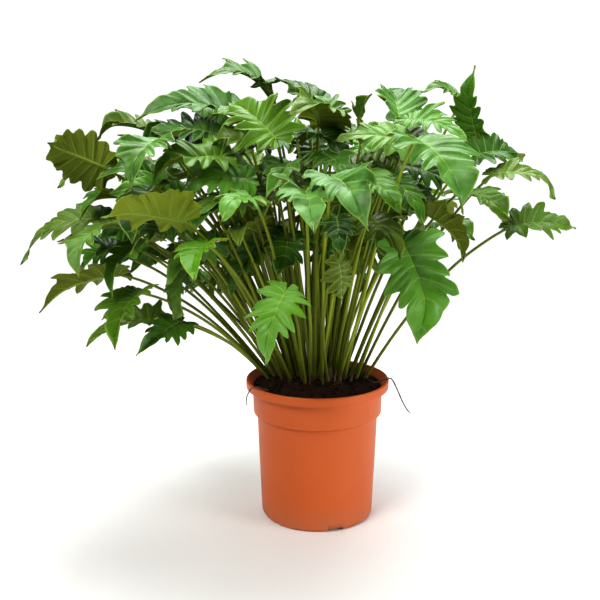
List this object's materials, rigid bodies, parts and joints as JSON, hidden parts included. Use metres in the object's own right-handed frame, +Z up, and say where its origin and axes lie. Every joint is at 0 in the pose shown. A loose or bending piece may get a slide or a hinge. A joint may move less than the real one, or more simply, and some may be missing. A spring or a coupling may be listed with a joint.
{
  "type": "potted philodendron",
  "caption": "Full clump of glossy, deeply lobed leaves on long stalks, growing in dark soil in a round terracotta-coloured plastic nursery pot with a rolled lip.",
  "frame": {"origin": "centre of the pot's underside, on the surface it stands on", "axes": "+Z up along the pot's axis; +X towards the right as seen from the plant's fuller side, which faces -Y"},
  "size_m": [0.775, 0.685, 0.6715],
  "materials": {
    "pot_plastic": "smooth injection-moulded terracotta-coloured polypropylene, soft sheen, slightly duller inside",
    "potting_soil": "dark damp potting mix of peat and fine bark, matt and lumpy",
    "stem_bark": "short green-brown stems with pale leaf scars, dry satin",
    "aerial_root": "thin dry grey-brown root skin",
    "leaf": "waxy mid-green blade, glossy above with pale veins and dull olive-green below, on a smooth yellow-green stalk that is browner near the soil"
  },
  "bodies": {
    "root": {"pot": "pot_plastic", "soil": "potting_soil", "stem_1": "stem_bark", "stem_2": "stem_bark", "stem_3": "stem_bark", "stem_4": "stem_bark", "aerial_root_right": "aerial_root", "aerial_root_left": "aerial_root", "leaf_01": "leaf", "leaf_02": "leaf", "leaf_03": "leaf", "leaf_04": "leaf", "leaf_05": "leaf", "leaf_06": "leaf", "leaf_07": "leaf", "leaf_08": "leaf", "leaf_09": "leaf", "leaf_10": "leaf", "leaf_11": "leaf", "leaf_12": "leaf", "leaf_13": "leaf", "leaf_14": "leaf", "leaf_15": "leaf", "leaf_16": "leaf", "leaf_17": "leaf", "leaf_18": "leaf", "leaf_19": "leaf", "leaf_20": "leaf", "leaf_21": "leaf", "leaf_22": "leaf", "leaf_23": "leaf", "leaf_24": "leaf", "leaf_25": "leaf", "leaf_26": "leaf", "leaf_27": "leaf", "leaf_28": "leaf", "leaf_29": "leaf", "leaf_30": "leaf", "leaf_31": "leaf", "leaf_32": "leaf", "leaf_33": "leaf", "leaf_34": "leaf", "leaf_35": "leaf", "leaf_36": "leaf", "leaf_37": "leaf", "leaf_38": "leaf", "leaf_39": "leaf", "leaf_40": "leaf", "leaf_41": "leaf", "leaf_42": "leaf", "leaf_43": "leaf", "leaf_44": "leaf", "leaf_45": "leaf", "leaf_46": "leaf", "leaf_47": "leaf", "leaf_48": "leaf", "leaf_49": "leaf", "leaf_50": "leaf", "leaf_51": "leaf", "leaf_52": "leaf"}
  },
  "joints": []
}
